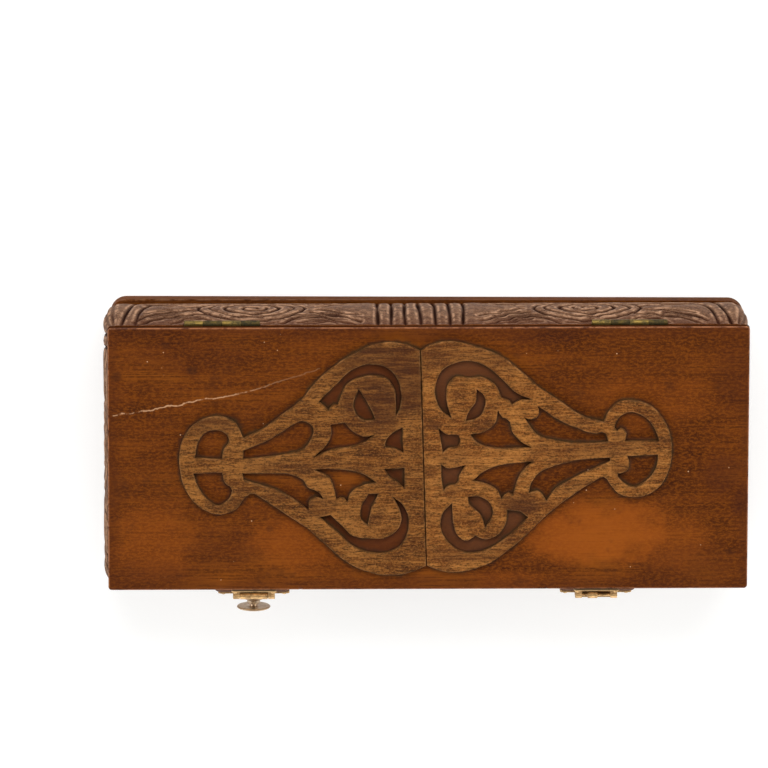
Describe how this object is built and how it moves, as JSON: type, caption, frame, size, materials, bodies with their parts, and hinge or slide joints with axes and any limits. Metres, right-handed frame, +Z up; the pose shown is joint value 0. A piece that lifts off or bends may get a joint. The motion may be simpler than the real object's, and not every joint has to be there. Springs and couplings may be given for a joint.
{
  "type": "jewelry box",
  "caption": "Low rectangular wooden jewelry box with a hinged flat lid under sawn fretwork, carved walls and hanging brass hasps at the front.",
  "frame": {"origin": "middle of the base board's underside", "axes": "+X along the length, to the right as seen from the catches; +Y towards the hinges; +Z up"},
  "size_m": [0.2218, 0.1053, 0.0418],
  "materials": {
    "stained_wood": "stained, waxed, with fine straight grain",
    "fretwork_wood": "open-pored, waxed, dirt in the edges",
    "carved_wood": "relief-carved, stained dark in the grooves, worn pale on the ridges",
    "brass": "aged and tarnished",
    "knob_metal": "turned, worn pale",
    "felt": "felt on card"
  },
  "bodies": {
    "box": {"base_board": "stained_wood", "front_wall": "carved_wood", "rear_wall": "carved_wood", "left_wall": "carved_wood", "right_wall": "carved_wood", "floor_lining": "felt", "hinge_left_wall_leaf": "brass", "hinge_left_pin": "brass", "hinge_left_wall_screw_1": "brass", "hinge_left_wall_screw_2": "brass", "catch_left_keeper": "brass", "catch_left_keeper_nail_1": "brass", "catch_left_keeper_nail_2": "brass", "hinge_right_wall_leaf": "brass", "hinge_right_pin": "brass", "hinge_right_wall_screw_1": "brass", "hinge_right_wall_screw_2": "brass", "catch_right_keeper": "brass", "catch_right_keeper_nail_1": "brass", "catch_right_keeper_nail_2": "brass"},
    "lid": {"lid_panel": "stained_wood", "fretwork_left": "fretwork_wood", "fretwork_right": "fretwork_wood", "hinge_left_lid_leaf": "brass", "hinge_left_lid_screw_1": "brass", "hinge_left_lid_screw_2": "brass", "catch_left_leaf": "brass", "catch_left_pin": "brass", "catch_left_leaf_nail_1": "brass", "catch_left_leaf_nail_2": "brass", "hinge_right_lid_leaf": "brass", "hinge_right_lid_screw_1": "brass", "hinge_right_lid_screw_2": "brass", "catch_right_leaf": "brass", "catch_right_pin": "brass", "catch_right_leaf_nail_1": "brass", "catch_right_leaf_nail_2": "brass"},
    "hasp_left": {"catch_left_hasp": "brass", "catch_left_knob": "knob_metal"},
    "hasp_right": {"catch_right_hasp": "brass", "catch_right_rivet": "knob_metal"}
  },
  "joints": [
    {"name": "lid_hinge", "type": "hinge", "parent": "box", "child": "lid", "pos_m": [0, 0.0466, 0.03635], "axis": [-1, 0, 0], "range_deg": [0, 105]},
    {"name": "hasp_left_swing", "type": "hinge", "parent": "lid", "child": "hasp_left", "pos_m": [-0.0599, -0.0498, 0.0367], "axis": [-1, 0, 0], "range_deg": [0, 110]},
    {"name": "hasp_right_swing", "type": "hinge", "parent": "lid", "child": "hasp_right", "pos_m": [0.0581, -0.0498, 0.0367], "axis": [-1, 0, 0], "range_deg": [0, 110]}
  ]
}
